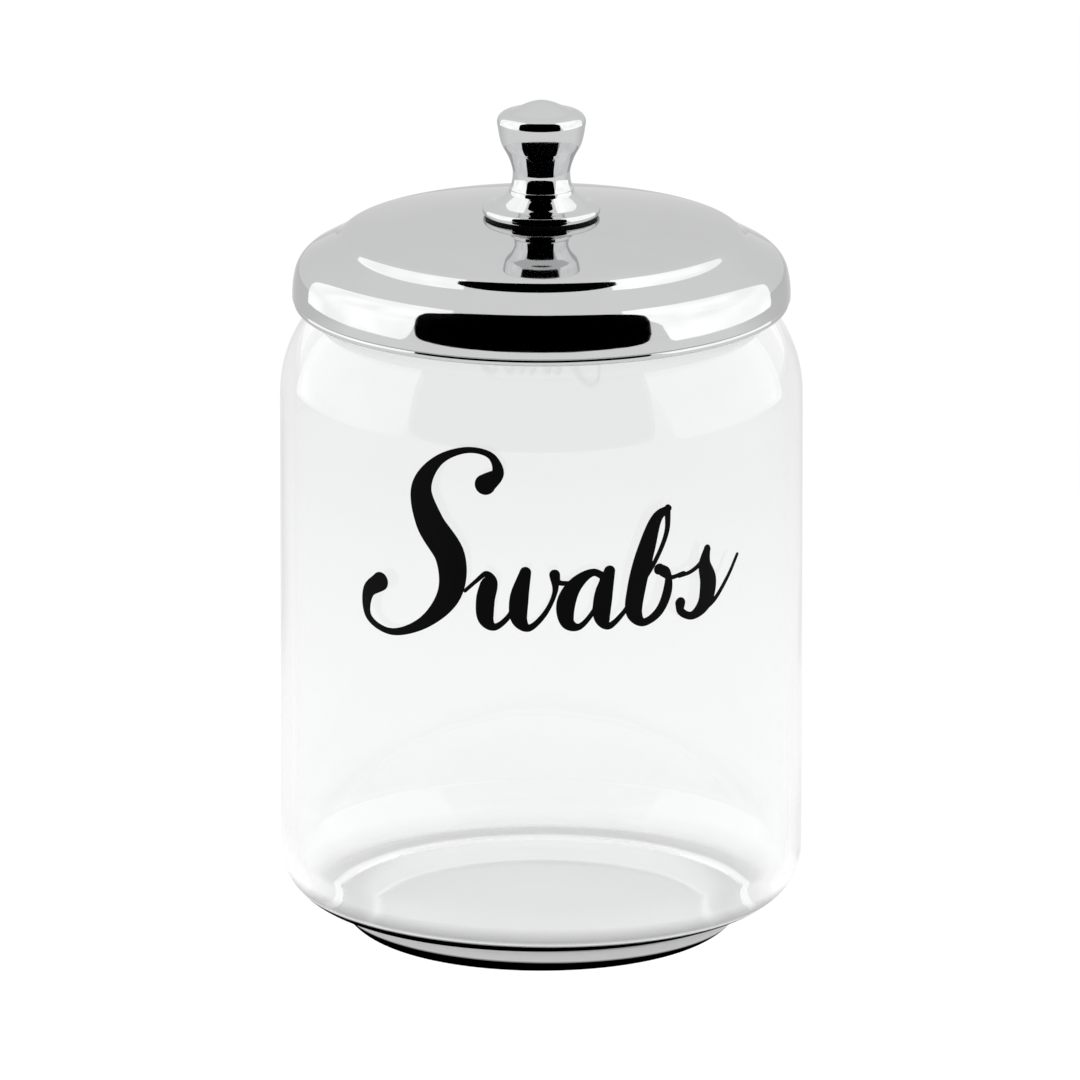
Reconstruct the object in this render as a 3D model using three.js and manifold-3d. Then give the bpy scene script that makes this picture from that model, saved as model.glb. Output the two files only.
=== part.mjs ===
// Glass apothecary jar with a lift-off chrome lid, in millimetres, +Z up.
// The origin is at the centre of the foot, on the surface that the jar stands on, and the lettering faces -Y.
import * as THREE from "three";
import { mergeVertices } from "three/addons/utils/BufferGeometryUtils.js";
import { TessellateModifier } from "three/addons/modifiers/TessellateModifier.js";
import Module from "manifold-3d";

const wasm = await Module();
wasm.setup();

// Glass body
const JAR_RADIUS = 54; // outside of the straight wall
const WALL = 3; // glass thickness
const FOOT_INNER = 33.8; // inner edge of the flat ring that the jar stands on
const FOOT_OUTER = 36.5; // outer edge of that ring
const HEEL_RADIUS = 5.8; // rounding from the flat ring up to the foot's side
const CORNER_RADIUS = 10.6; // rounding from the foot out to the wall
const CORNER_HEIGHT = 16.8; // where the wall begins
const FLOOR_TOP = 5.2; // upper face of the glass floor
const FLOOR_BOTTOM = 1.9; // underside of the floor, above the flat ring
const FLOOR_RADIUS = 38; // flat part of the floor inside
const SHOULDER_HEIGHT = 114.2; // where the wall turns in towards the neck
const SHOULDER_RADIUS = 26; // outside radius of that turn
const NECK_OUTER = 45.6;
const RIM_HEIGHT = 140; // top of the glass

// Lid
const SHEET = 0.7; // thickness of the pressed lid
const LIP_ROLL = 3; // radius of the lip that turns under the rim
const RIM_Z = 135.3; // where the lid is widest
const LID_RADIUS = 51.45;
const RIM_CURVE = 18.5; // radius of the rim's gently curved side
const SEAT_Z = 151.75; // flat seat for the knob
const SEAT_RADIUS = 12.5;
const RIM_ROUND = 5.59; // rounding from the side over to the groove
const STEP_ROUND = 2.9; // rounding from the groove's step over to the disc
const DISC_FALL = 0.0023; // fall of the domed disc for each square of the radius
const SCREW_HOLE = 2.4;

// Knob and its fastening
const KNOB_WASHER = 0.6; // thickness
const FLANGE_RADIUS = 12.2;
const FLANGE_ROUND = 1.17; // rounding of the flange's edge
const CROWN_RADIUS = 9.17;
const CROWN_ROUND = 1.2; // rounding of the crown's upper edge
const KNOB_TOP = 176.2;
const SCREW_RADIUS = 1.95;
const FLAT_WASHER = 1;
const LOCK_WASHER = 1.1;
const HEAD_HEIGHT = 2.6;

// Liner and seal
const LINER_TOP = 143;
const LINER_BOTTOM = 141.5;
const LINER_RADIUS = 48.4;
const PLUG_OUTER = 40.2;
const PLUG_WALL = 1.8;
const PLUG_Z = 131.9; // lower end of the plug

// Lettering
const BASELINE = 78; // height of the lettering's baseline
const SLANT = 0.2; // sideways lean for each unit of height
const LOWER_CASE = 0.8; // scale of the small letters
const VINYL = 0.25; // thickness of the lettering here
const VINYL_GAP = 0.12; // clearance to the faceted glass
const LONGEST_EDGE = 5; // longest edge before the flat lettering is wrapped round the glass
const STROKE_STEPS = 3; // steps between two points of a stroke

const AROUND = 40; // facets round the large turned pieces
const AROUND_SMALL = 28; // facets round the small turned pieces

const glass = new THREE.MeshStandardMaterial({
  color: 0xf1f4f3,
  roughness: 0.04,
  metalness: 0,
  transparent: true,
  opacity: 0.35,
});
const chrome = new THREE.MeshStandardMaterial({ color: 0xd0d1d3, roughness: 0.06, metalness: 1 });
const vinyl = new THREE.MeshStandardMaterial({ color: 0x060606, roughness: 0.5, metalness: 0 });
const nylon = new THREE.MeshStandardMaterial({ color: 0x0c0c0d, roughness: 0.45, metalness: 0 });
const silicone = new THREE.MeshStandardMaterial({ color: 0xe6e9ea, roughness: 0.4, metalness: 0 });
const plastic = new THREE.MeshStandardMaterial({ color: 0xf0f0ee, roughness: 0.45, metalness: 0 });
const steel = new THREE.MeshStandardMaterial({ color: 0xb9bbbd, roughness: 0.3, metalness: 1 });

// Points of a circular arc in the (radius, height) plane, in degrees, both ends included.
function arc(centreR, centreZ, radius, from, to, steps) {
  const points = [];
  for (let i = 0; i <= steps; i++) {
    const angle = THREE.MathUtils.degToRad(from + ((to - from) * i) / steps);
    points.push([centreR + radius * Math.cos(angle), centreZ + radius * Math.sin(angle)]);
  }
  return points;
}

// A solid of revolution about Z from [radius, height] points that run anticlockwise.
function turned(points, facets) {
  const profile = points.map(([r, z]) => new THREE.Vector2(r, z));
  return new THREE.LatheGeometry(profile, facets).rotateX(Math.PI / 2);
}

// A ring turned about Z: its outline is closed back to the first point.
function turnedRing(points, facets) {
  return turned([...points, points[0]], facets);
}

function named(name, geometry, material) {
  const mesh = new THREE.Mesh(geometry, material);
  mesh.name = name;
  return mesh;
}

function toManifold(geometry) {
  const bare = new THREE.BufferGeometry().setAttribute("position", geometry.getAttribute("position"));
  if (geometry.index) bare.setIndex(geometry.index);
  const merged = mergeVertices(bare, 1e-4);
  return new wasm.Manifold(
    new wasm.Mesh({
      numProp: 3,
      vertProperties: new Float32Array(merged.attributes.position.array),
      triVerts: new Uint32Array(merged.index.array),
    }),
  );
}

function toGeometry(solid) {
  const mesh = solid.getMesh();
  return new THREE.BufferGeometry()
    .setAttribute("position", new THREE.BufferAttribute(new Float32Array(mesh.vertProperties), 3))
    .setIndex(new THREE.BufferAttribute(new Uint32Array(mesh.triVerts), 1));
}

// The glass: a recessed base on a flat ring, a rounded heel and corner, a straight wall, a shoulder, a neck.
function glassJar() {
  const shoulderCentre = JAR_RADIUS - SHOULDER_RADIUS;
  const cornerCentre = JAR_RADIUS - CORNER_RADIUS;
  const inside = JAR_RADIUS - WALL;
  const innerShoulder = SHOULDER_RADIUS - WALL;
  const mouth = NECK_OUTER - WALL;
  const innerCorner = inside - FLOOR_RADIUS;
  const neckAngle = THREE.MathUtils.radToDeg(Math.acos((NECK_OUTER - shoulderCentre) / SHOULDER_RADIUS));
  const mouthAngle = THREE.MathUtils.radToDeg(Math.acos((mouth - shoulderCentre) / innerShoulder));
  const lipRadius = WALL / 2;
  return turned(
    [
      [0, FLOOR_BOTTOM + 0.4],
      [FOOT_INNER - 3, FLOOR_BOTTOM],
      [FOOT_INNER - 0.8, 0.8],
      [FOOT_INNER, 0],
      [FOOT_OUTER, 0],
      ...arc(FOOT_OUTER, HEEL_RADIUS, HEEL_RADIUS, -72, -6, 4),
      ...arc(cornerCentre, CORNER_HEIGHT, CORNER_RADIUS, -84, 0, 6),
      ...arc(shoulderCentre, SHOULDER_HEIGHT, SHOULDER_RADIUS, 0, neckAngle, 7),
      ...arc(NECK_OUTER - lipRadius, RIM_HEIGHT - lipRadius, lipRadius, 0, 180, 4),
      ...arc(shoulderCentre, SHOULDER_HEIGHT, innerShoulder, mouthAngle, 0, 6),
      ...arc(FLOOR_RADIUS, FLOOR_TOP + innerCorner, innerCorner, 0, -90, 6),
      [0, FLOOR_TOP],
    ],
    AROUND,
  );
}

// Centre lines of the brush strokes, one list for each letter: [across, height above the baseline, width].
const CAPITAL_S = [
  [
    [23.5, 30.5, 4.4], [25.6, 33.2, 2.6], [23.5, 36.6, 1.5], [18.6, 37.6, 1.3], [12.6, 34.8, 2.2],
    [10, 28.6, 4.6], [13.2, 21.6, 6.4], [19.2, 14.6, 6.6], [20.6, 7, 5.2], [16.2, 0, 2.6],
    [8.6, -3, 1.4], [2.6, -0.6, 1.6], [1.6, 4.6, 3], [4.2, 7.2, 4],
  ],
];
const LETTER_W = [
  [
    [-5, 9.6, 1], [-2.6, 12.4, 1.1], [-0.6, 14.4, 1.6], [0.8, 12.6, 4.2], [0.8, 7.5, 4.9],
    [2, 2.4, 4.2], [4.6, 0.5, 2], [7.4, 3, 1.4], [9.2, 9, 1.3], [9.8, 14.6, 1.6],
  ],
  [
    [9.6, 15.2, 3], [9.4, 8, 4.9], [10.6, 2.6, 4.2], [13.4, 0.5, 2], [16.6, 4, 1.4],
    [18.2, 10, 1.4], [17.2, 14.6, 2.8],
  ],
  [[17.4, 14.6, 2.4], [18.6, 12.6, 1.5], [22, 12.2, 1.2]],
];
const LETTER_A = [
  [
    [9.8, 13.4, 2], [6.4, 14.9, 2], [2.4, 12, 3.8], [0.9, 6.8, 4.9], [2.4, 1.8, 3.6],
    [5.4, 0.6, 1.8], [8.4, 4.4, 1.3], [9.9, 10, 1.3],
  ],
  [[10.6, 15, 3], [10.3, 8, 4.9], [11.2, 2.6, 4.2], [13.4, 0.5, 2], [16.4, 3.4, 1.3], [18.6, 8, 1.1]],
];
const LETTER_B = [
  [[1.4, 8, 1.1], [5.6, 16, 1.2], [7.6, 24, 1.4], [6.6, 30.2, 1.8]],
  [
    [6.9, 30, 1.8], [4.2, 28.2, 3], [2.6, 20, 4.9], [1.9, 10, 5.1], [2.6, 3.4, 4.4],
    [5.6, 0.6, 2.2], [9.4, 2.8, 2.4], [11, 8.4, 2.6], [9.8, 13.4, 1.8], [7.4, 14.2, 3],
  ],
  [[8.6, 13.2, 2.2], [11, 11.6, 1.3], [15, 12.2, 1.1]],
];
const LETTER_S = [
  [[-1, 11.6, 1.1], [2.4, 12.2, 1.1], [5.4, 14.2, 1.4], [6.8, 17.2, 2]],
  [
    [6.6, 17.6, 2], [6.6, 13.6, 3.8], [8.8, 8.6, 5.3], [8.6, 3.2, 4.4], [5, 0.5, 2.2],
    [1.4, 2.2, 2.2], [0.8, 4.4, 3],
  ],
  [[6.6, 1.2, 1.8], [11.2, 3, 1.3], [15.4, 8.6, 1.1], [18, 14, 1]],
];
const WORD = [
  { letter: CAPITAL_S, start: -41.2, scale: 1 },
  { letter: LETTER_W, start: -13.4, scale: LOWER_CASE },
  { letter: LETTER_A, start: 3.2, scale: LOWER_CASE },
  { letter: LETTER_B, start: 16.8, scale: LOWER_CASE },
  { letter: LETTER_S, start: 28.6, scale: LOWER_CASE },
];

// The flat outline of one brush stroke with round ends, from its centre line and widths.
function strokeShape(points, start, scale) {
  const controls = points.map(([x, h, width]) => {
    const across = (x + h * SLANT) * scale + start;
    return new THREE.Vector3(across, h * scale + BASELINE, width * scale);
  });
  const curve = new THREE.CatmullRomCurve3(controls, false, "centripetal");
  const samples = curve.getPoints(STROKE_STEPS * (controls.length - 1));
  const left = [];
  const right = [];
  samples.forEach((here, i) => {
    const before = samples[Math.max(i - 1, 0)];
    const after = samples[Math.min(i + 1, samples.length - 1)];
    const along = new THREE.Vector2(after.x - before.x, after.y - before.y).normalize();
    left.push(new THREE.Vector2(here.x - (along.y * here.z) / 2, here.y + (along.x * here.z) / 2));
    right.push(new THREE.Vector2(here.x + (along.y * here.z) / 2, here.y - (along.x * here.z) / 2));
  });
  const roundEnd = (from, to) => {
    const centre = from.clone().add(to).multiplyScalar(0.5);
    const spoke = from.clone().sub(centre);
    return [45, 90, 135].map((turn) =>
      centre.clone().add(spoke.clone().rotateAround(new THREE.Vector2(), -THREE.MathUtils.degToRad(turn))),
    );
  };
  const last = samples.length - 1;
  return new THREE.Shape([
    ...left,
    ...roundEnd(left[last], right[last]),
    ...right.reverse(),
    ...roundEnd(right[last], left[0]),
  ]);
}

// The word as one flat cut-out, then wrapped round the front of the glass.
function lettering() {
  let flat = null;
  for (const { letter, start, scale } of WORD) {
    for (const points of letter) {
      const shape = strokeShape(points, start, scale);
      const solid = toManifold(new THREE.ExtrudeGeometry(shape, { depth: VINYL, bevelEnabled: false }));
      flat = flat ? flat.add(solid) : solid;
    }
  }
  const fine = new TessellateModifier(LONGEST_EDGE, 12).modify(toGeometry(flat).toNonIndexed());
  const position = fine.getAttribute("position");
  for (let i = 0; i < position.count; i++) {
    const angle = position.getX(i) / JAR_RADIUS;
    const radius = JAR_RADIUS + VINYL_GAP + position.getZ(i);
    position.setXYZ(i, radius * Math.sin(angle), -radius * Math.cos(angle), position.getY(i));
  }
  return fine;
}

// The outline moved sideways by a distance, to the left of its direction.
function offset(points, distance) {
  return points.map(([r, z], i) => {
    const [r0, z0] = points[Math.max(i - 1, 0)];
    const [r1, z1] = points[Math.min(i + 1, points.length - 1)];
    const length = Math.hypot(r1 - r0, z1 - z0);
    return [r - ((z1 - z0) / length) * distance, z + ((r1 - r0) / length) * distance];
  });
}

// Pressed sheet: a rolled lip, a tall rounded rim, a soft step, a domed disc with a flat seat for the knob.
function lidShell() {
  const dome = [];
  for (const r of [31.5, 22]) dome.push([r, SEAT_Z - DISC_FALL * (r * r - SEAT_RADIUS ** 2)]);
  const outer = [
    ...arc(LID_RADIUS - LIP_ROLL, RIM_Z, LIP_ROLL, -54, 0, 3),
    ...arc(LID_RADIUS - RIM_CURVE, RIM_Z, RIM_CURVE, 7, 14.5, 1),
    ...arc(45.45, 138.53, RIM_ROUND, 28, 62.7, 3),
    [42.65, 146.28],
    ...arc(39.47, 145.52, STEP_ROUND, 40.6, 79, 2),
    ...dome,
    [SEAT_RADIUS, SEAT_Z],
    [SCREW_HOLE, SEAT_Z],
  ];
  return turnedRing([...outer, ...offset(outer, SHEET).reverse()], AROUND);
}

// Moulded disc under the lid with a downward plug that centres it in the mouth and holds the seal.
function lidLiner() {
  const inner = PLUG_OUTER - PLUG_WALL;
  return turned(
    [
      [0, LINER_BOTTOM],
      [inner, LINER_BOTTOM],
      [inner, PLUG_Z],
      [PLUG_OUTER + 0.6, PLUG_Z],
      [PLUG_OUTER + 1, PLUG_Z + 0.5],
      [PLUG_OUTER + 1, PLUG_Z + 1.3],
      [PLUG_OUTER, PLUG_Z + 1.8],
      [PLUG_OUTER, LINER_BOTTOM],
      [LINER_RADIUS, LINER_BOTTOM],
      [LINER_RADIUS, LINER_TOP - 1],
      [LINER_RADIUS - 1.6, LINER_TOP],
      [0, LINER_TOP],
    ],
    AROUND,
  );
}

// Soft ring: a flange that lies on the glass rim, and a sleeve with two fins inside the mouth.
function sealRing() {
  const inner = PLUG_OUTER + 0.35;
  const sleeve = inner + 0.9;
  const fin = NECK_OUTER - WALL - 0.35;
  const flange = 44.4;
  const rest = RIM_HEIGHT + 0.05;
  return turnedRing(
    [
      [inner, PLUG_Z + 2.2],
      [sleeve, PLUG_Z + 2.2],
      [sleeve, 135.4],
      [fin, 136],
      [sleeve, 136.6],
      [sleeve, 137.4],
      [fin, 138],
      [sleeve, 138.6],
      [sleeve, rest],
      [flange, rest],
      [flange, LINER_BOTTOM - 0.15],
      [inner, LINER_BOTTOM - 0.15],
    ],
    AROUND,
  );
}

// Turned knob: a flange, a narrow waist, a flared crown with a raised button on top, and a blind screw hole.
function knob() {
  const base = SEAT_Z + KNOB_WASHER;
  const hole = SCREW_RADIUS + 0.15;
  return turned(
    [
      [0, base + 8.6],
      [hole, base + 7.8],
      [hole, base],
      [FLANGE_RADIUS - 0.4, base],
      ...arc(FLANGE_RADIUS - FLANGE_ROUND, base + 0.85, FLANGE_ROUND, -15, 60, 3),
      [7.6, base + 4.15],
      [6.5, base + 5],
      [6.1, base + 6.4],
      [5.92, base + 8.3],
      [6.27, base + 10.45],
      [7, base + 12.45],
      [7.9, base + 14.25],
      [8.6, base + 16.15],
      [9, base + 17.95],
      ...arc(CROWN_RADIUS - CROWN_ROUND, base + 20, CROWN_ROUND, 0, 60, 3),
      [7.3, base + 21.37],
      [6.2, base + 21.5],
      [4.1, KNOB_TOP - 1.3],
      [1.8, KNOB_TOP - 0.35],
      [0, KNOB_TOP],
    ],
    AROUND_SMALL,
  );
}

function knobWasher() {
  const z = SEAT_Z;
  const outer = FLANGE_RADIUS - 0.6;
  return turnedRing([[2.6, z], [outer, z], [outer, z + KNOB_WASHER], [2.6, z + KNOB_WASHER]], AROUND_SMALL);
}

function flatWasher() {
  const z = SEAT_Z - SHEET - FLAT_WASHER;
  return turnedRing([[2.3, z], [4.9, z], [4.9, z + FLAT_WASHER], [2.3, z + FLAT_WASHER]], AROUND_SMALL);
}

// A split ring, open by a few degrees.
function lockWasher() {
  const z = SEAT_Z - SHEET - FLAT_WASHER - LOCK_WASHER;
  const gap = THREE.MathUtils.degToRad(7);
  const shape = new THREE.Shape().absarc(0, 0, 3.9, gap, 2 * Math.PI - gap, false);
  shape.absarc(0, 0, 2.3, 2 * Math.PI - gap, gap, true);
  return new THREE.ExtrudeGeometry(shape, { depth: LOCK_WASHER, bevelEnabled: false, curveSegments: 10 })
    .translate(0, 0, z);
}

// Pan-head machine screw, driven from under the lid up into the knob, with a cross recess.
function knobScrew() {
  const head = SEAT_Z - SHEET - FLAT_WASHER - LOCK_WASHER;
  const tip = SEAT_Z + KNOB_WASHER + 7.2;
  const blank = toManifold(
    turned(
      [
        [0, head - HEAD_HEIGHT],
        [2.4, head - HEAD_HEIGHT + 0.2],
        [3.6, head - HEAD_HEIGHT + 1.1],
        [3.8, head],
        [SCREW_RADIUS, head],
        [SCREW_RADIUS, tip - 0.6],
        [SCREW_RADIUS - 0.5, tip],
        [0, tip],
      ],
      24,
    ),
  );
  const depth = head - HEAD_HEIGHT + 0.6;
  const slots = [[3.4, 0.8], [0.8, 3.4]].map(([x, y]) =>
    toManifold(new THREE.BoxGeometry(x, y, 2).translate(0, 0, depth)),
  );
  return toGeometry(slots.reduce((solid, slot) => solid.subtract(slot), blank));
}

const jar = new THREE.Group();
jar.add(named("glass_jar", glassJar(), glass));
jar.add(named("decal", lettering(), vinyl));

const seal = new THREE.Group();
seal.add(named("seal_ring", sealRing(), silicone));

const lid = new THREE.Group();
lid.add(named("lid_shell", lidShell(), chrome));
lid.add(named("lid_liner", lidLiner(), plastic));
lid.add(named("knob", knob(), chrome));
lid.add(named("knob_washer", knobWasher(), nylon));
lid.add(named("knob_screw", knobScrew(), steel));
lid.add(named("flat_washer", flatWasher(), steel));
lid.add(named("lock_washer", lockWasher(), steel));

const apothecaryJar = new THREE.Group();
apothecaryJar.add(jar, seal, lid);

export default apothecaryJar;
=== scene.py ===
import math

import bmesh
import bpy
import numpy as np
from mathutils import Matrix, Vector
from mathutils.geometry import delaunay_2d_cdt


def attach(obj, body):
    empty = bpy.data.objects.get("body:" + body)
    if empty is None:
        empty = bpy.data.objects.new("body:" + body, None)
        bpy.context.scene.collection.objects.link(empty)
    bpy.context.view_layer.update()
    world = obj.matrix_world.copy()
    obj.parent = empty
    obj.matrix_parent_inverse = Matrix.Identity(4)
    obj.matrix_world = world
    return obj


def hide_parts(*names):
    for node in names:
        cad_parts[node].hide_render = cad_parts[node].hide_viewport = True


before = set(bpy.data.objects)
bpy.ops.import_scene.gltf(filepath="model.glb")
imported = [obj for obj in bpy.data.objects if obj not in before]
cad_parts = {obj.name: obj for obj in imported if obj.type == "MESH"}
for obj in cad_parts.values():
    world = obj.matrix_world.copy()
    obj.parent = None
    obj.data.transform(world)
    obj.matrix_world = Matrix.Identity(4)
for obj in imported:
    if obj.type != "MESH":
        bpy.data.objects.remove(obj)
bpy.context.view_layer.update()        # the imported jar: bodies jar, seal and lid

# Outlines are in millimetres, [radius, height], and run anticlockwise round the solid. Objects are in metres.
MM = 0.001
AROUND = 240  # facets round the large turned pieces
AROUND_SMALL = 144  # facets round the knob, the screw and the washers
ARC_STEP = 4  # degrees between two points of an arc
CREASE = math.radians(38)  # edges sharper than this stay crisp
OUTLINE_STEPS = 6  # steps between two points of a smooth outline
MARK_WANDER = 0.002  # how far turning marks wander on their way round, in metres

# Glass body
JAR_RADIUS = 54
WALL = 3
CORNER_RADIUS = 10.6
CORNER_HEIGHT = 17.3
FLOOR_TOP = 5.2
FLOOR_RADIUS = 38
SHOULDER_HEIGHT = 114.2
SHOULDER_RADIUS = 26
NECK_OUTER = 45.6
RIM_HEIGHT = 140

# How dark the painted shade on the underside of the glass is from outside: [height, darkness from 0 to 1]
HEEL_SHADE = [
    (0, 1), (2.9, 1), (3.4, 0.25), (5.6, 0.35), (6.3, 1),
    (9, 1), (9.6, 0.05), (10.5, 0.4), (12, 0.25), (14, 0),
]
HEEL_SHADE_TOP = 14
SHADE_LEAN = 0.015  # the painted dark bands get lower towards the right
FACING_DOWN = (-0.3, -0.1)  # a face is on the underside when its normal's Z is below this, with a soft change
BASE_ROUGHNESS = 0.32  # the pressed base is a little rippled
BASE_ROUGHNESS_FADE = (5, 12)  # heights between which that fades out
BASE_PAINTED_GLOW = 0.65  # how much of the base gets a painted grey glow when it is seen through the jar
BASE_PAINTED_GLOW_FADE = (6, 9)
CAUGHT_AFTER = 9  # bounces after which light counts as caught in the glass and is shown as painted glow
PAINTED_GLOW_LEVEL = 0.7  # brightness of the painted grey glow for caught light and for the base

# Lid
SHEET = 0.7
LID_RADIUS = 51.45
RIM_Z = 135.3
RIM_CURVE = 18.5  # radius of the rim's gently curved side
RIM_ROUND = 5.59  # rounding from the side over to the groove
GROOVE_ROUND = 6.836
STEP_ROUND = 2.9  # rounding from the groove's step over to the disc
DISC_CENTRE = 152.1  # where the domed disc would reach the axis
DISC_FALL = 0.0023  # its fall for each square of the radius
SEAT_Z = 151.75
SEAT_RADIUS = 12.5
SCREW_HOLE = 2.4

# Knob, its washer and its screw
KNOB_BASE = 152.35
SCREW_RADIUS = 1.95
FLAT_WASHER = 1
LOCK_WASHER = 1.1
HEAD_HEIGHT = 2.6
SCREW_REACH = 7.2  # length of the screw inside the knob
THREAD_PITCH = 0.7
THREAD_DEPTH = 0.35
THREAD_GAP = 0.15  # clearance between the screw and the knob's hole
WASHER_HOLE = 2.3
WASHER_EDGE = 0.15  # rounding of a washer's outer edges

# Liner and seal
LINER_TOP = 143
LINER_BOTTOM = 141.5
LINER_RADIUS = 48.4
PLUG_OUTER = 40.2
PLUG_WALL = 1.8
PLUG_Z = 131.9
SEAL_GAP = 0.35  # clearance of the seal to the plug and to the glass
SEAL_WALL = 0.9

# Lettering
BASELINE = 78
SLANT = 0.2
LOWER_CASE = 0.8
VINYL_INSIDE = 54.02  # radius of the side that is stuck to the glass
VINYL_OUTSIDE = 54.1
STROKE_STEPS = 10  # steps between two points of a stroke
ROUND_END = 20  # corners of a stroke's round end
HALF_STROKE = 0.51  # just over half, so that triangles along a stroke's edge count as inside
GRID = 1.6  # spacing of the points inside the lettering
GRID_ACROSS = range(-28, 32)  # the grid's lines that cover the word
GRID_UP = range(44, 76)
SAME_POINT = 1e-4  # points closer than this are one

# Camera: a long lens, a little above the object
ELEVATION = math.radians(15.3)
DISTANCE = 5.0
LENS = 805.6
AIM = Vector((-0.0003, 0, 0.0823))

# Studio cards: [turn, lowest tilt, highest tilt] of the mirror normals on the lid's rim that show them
DARK_ARCH = [(-30.8, 12, 26), (-30, 7, 37), (-28, 5, 44), (-25.2, 4, 46.5), (-20, 3, 51.5), (-14, 2.5, 54.2),
             (0, 1.8, 55.6), (11, 2.5, 54.2), (17, 3, 51.5), (21.5, 3.5, 47.5), (24.8, 5, 42), (26.2, 10, 28)]
SOFTBOX_LEFT = [(-70.5, 14, 32), (-68.5, 6, 42), (-62, 3, 50), (-50, 3, 56), (-40, 3, 58), (-34, 4, 58),
                (-32, 8, 58), (-29, 26, 58), (-22, 40, 57)]
SOFTBOX_RIGHT = [
    (20, 40, 57), (27, 25, 58), (30.3, 9, 58), (32, 4, 58), (40, 3, 58),
    (50, 3, 56), (60, 3, 50), (66.5, 7, 42), (68, 16, 32),
]
RIM_FOR_CARDS = Vector((0, -0.048, 0.142))  # the point of the rim that is nearest to the camera
DARK_DISTANCE = 0.75  # metres from the rim
SOFTBOX_DISTANCE = 0.9
SOFTBOX_STRENGTH = 1.72
CARD_LOSS = 0.6  # share of a card's effect that is lost on light that also goes through glass
CARD_STEPS = 5  # columns between two points of a card's outline
CARD_ROWS = 24

# Tabletop and lamps
TABLE_HALF = 4  # half its width, in metres
TABLE_GLOW_AND_PAINTED_POOL = (0.3, 0.1)  # light from below: painted pool under the jar, even away from it
PAINTED_POOL_FADE = (0.06, 0.11)  # distances from the axis between which the painted pool fades out
PAINTED_TABLE_SHADE = (0.08, 0.36)  # distances behind the axis over which painted shade darkens the tabletop
TABLE_CLOUD = 0.05  # how much cloudiness is mixed into that
TABLE_SEEN = 0.8  # share of the plain white that the camera sees instead
TABLE_WHITE = 1.06
LAMP_SIZE = 3
LAMP_POWER = 5
LAMP_HEIGHT = 2.5


# ---------------------------------------------------------------- outlines

def arc(centre_r, centre_z, radius, start, end):
    """Points of a circular arc, in degrees, both ends included."""
    steps = max(2, round(abs(end - start) / ARC_STEP))
    points = []
    for i in range(steps + 1):
        angle = math.radians(start + (end - start) * i / steps)
        points.append((centre_r + radius * math.cos(angle), centre_z + radius * math.sin(angle)))
    return points


def smooth_curve(points, steps):
    """Centripetal Catmull-Rom curve through the points, with that many steps between two of them."""
    ends = [2 * points[0] - points[1], *points, 2 * points[-1] - points[-2]]
    curve = []
    for a, b, c, d in zip(ends, ends[1:], ends[2:], ends[3:]):
        ab, bc, cd = ((q - p).length ** 0.5 for p, q in ((a, b), (b, c), (c, d)))
        leave = ((b - a) / ab - (c - a) / (ab + bc) + (c - b) / bc) * bc
        arrive = ((c - b) / bc - (d - b) / (bc + cd) + (d - c) / cd) * bc
        for step in range(steps):
            t = step / steps
            curve.append(
                b * (2 * t**3 - 3 * t**2 + 1)
                + leave * (t**3 - 2 * t**2 + t)
                + c * (3 * t**2 - 2 * t**3)
                + arrive * (t**3 - t**2)
            )
    curve.append(points[-1])
    return curve


def smooth_outline(points):
    """A smooth curve through [radius, height] points."""
    return [(p.x, p.y) for p in smooth_curve([Vector((r, z, 0)) for r, z in points], OUTLINE_STEPS)]


def offset(points, distance):
    """The outline moved sideways, to the left of its direction."""
    moved = []
    for i, (r, z) in enumerate(points):
        r0, z0 = points[max(i - 1, 0)]
        r1, z1 = points[min(i + 1, len(points) - 1)]
        length = math.hypot(r1 - r0, z1 - z0)
        moved.append((r - (z1 - z0) / length * distance, z + (r1 - r0) / length * distance))
    return moved


# ---------------------------------------------------------------- meshes

def placed(name, data):
    """A new object in the scene."""
    thing = bpy.data.objects.new(name, data)
    bpy.context.scene.collection.objects.link(thing)
    return thing


def mesh_of(build, name):
    """The mesh of a finished build."""
    mesh = bpy.data.meshes.new(name)
    build.to_mesh(mesh)
    build.free()
    return mesh


def finished(name, mesh, material, body, node):
    """The object of a mesh: smooth, crisp at its creases, riding on its body in place of its CAD node."""
    mesh.shade_smooth()
    mesh.set_sharp_from_angle(angle=CREASE)
    mesh.materials.append(material)
    piece = placed(name, mesh)
    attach(piece, body)
    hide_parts(node)
    return piece


def turned(name, outline, facets, closed=False):
    """A mesh of revolution about Z. An outline that isn't closed starts and ends on the axis."""
    points = [*outline, outline[0]] if closed else outline
    build = bmesh.new()
    rings = []
    for r, z in points[:-1] if closed else points:
        if r == 0:
            rings.append([build.verts.new((0, 0, z * MM))] * facets)
            continue
        ring = []
        for i in range(facets):
            angle = 2 * math.pi * i / facets
            ring.append(build.verts.new((r * MM * math.cos(angle), r * MM * math.sin(angle), z * MM)))
        rings.append(ring)
    if closed:
        rings.append(rings[0])
    for low, high in zip(rings, rings[1:]):
        for i in range(facets):
            j = (i + 1) % facets
            corners = [low[i], low[j], high[j], high[i]]
            build.faces.new(dict.fromkeys(corners))
    return mesh_of(build, name)


# ---------------------------------------------------------------- materials

def new_material(name, **values):
    """A material with its Principled shader's uniform values set on its own sockets."""
    material = bpy.data.materials.new(name)
    material.use_nodes = True
    nodes = material.node_tree.nodes
    shader = nodes["Principled BSDF"]
    for socket, value in values.items():
        shader.inputs[socket.replace("_", " ")].default_value = value
    return material, nodes, material.node_tree.links, shader


def separated(nodes, links, vector):
    """The X, Y and Z of a vector, as a node's outputs."""
    node = nodes.new("ShaderNodeSeparateXYZ")
    links.new(vector, node.inputs["Vector"])
    return node.outputs


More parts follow.
